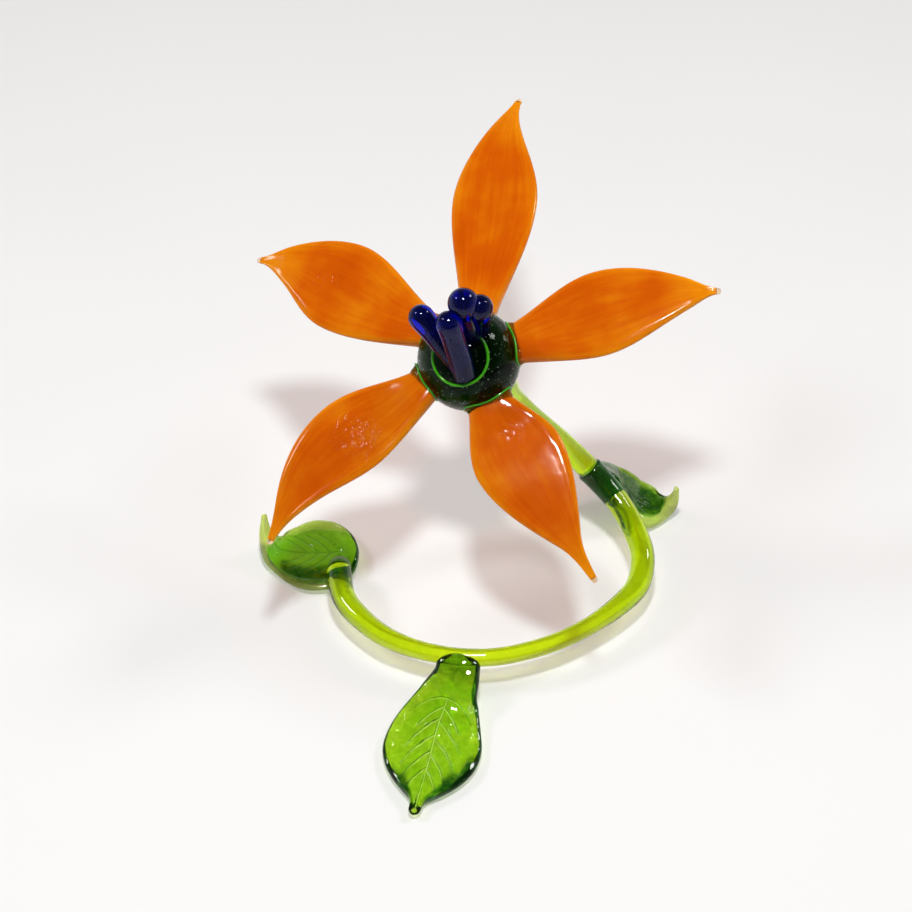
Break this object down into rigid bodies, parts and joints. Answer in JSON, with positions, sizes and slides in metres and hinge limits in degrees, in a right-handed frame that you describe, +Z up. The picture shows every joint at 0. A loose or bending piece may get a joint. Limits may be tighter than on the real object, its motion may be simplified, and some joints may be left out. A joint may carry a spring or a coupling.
{
  "type": "glass flower ornament",
  "caption": "Lampworked glass flower with orange petals and cobalt stamens on a dark green ball, held by a lime glass rod that bends into an open ring on pressed green leaves.",
  "frame": {"origin": "middle of the footprint, on the surface that the leaves stand on", "axes": "+Z up, -Y towards the front leaf, +X towards the leaf on the rising side of the rod"},
  "size_m": [0.1114, 0.1612, 0.0884],
  "materials": {
    "petal_glass": "gloss",
    "centre_glass": "gloss",
    "stamen_glass": "gloss",
    "stem_glass": "gloss",
    "leaf_glass": "gloss"
  },
  "bodies": {
    "root": {"flower_centre": "centre_glass", "petal_top": "petal_glass", "petal_right": "petal_glass", "petal_lower_right": "petal_glass", "petal_lower_left": "petal_glass", "petal_left": "petal_glass", "stamen_front": "stamen_glass", "stamen_left": "stamen_glass", "stamen_back": "stamen_glass", "stamen_right": "stamen_glass", "stem": "stem_glass", "leaf_front": "leaf_glass", "leaf_left": "leaf_glass", "leaf_right": "leaf_glass"}
  },
  "joints": []
}
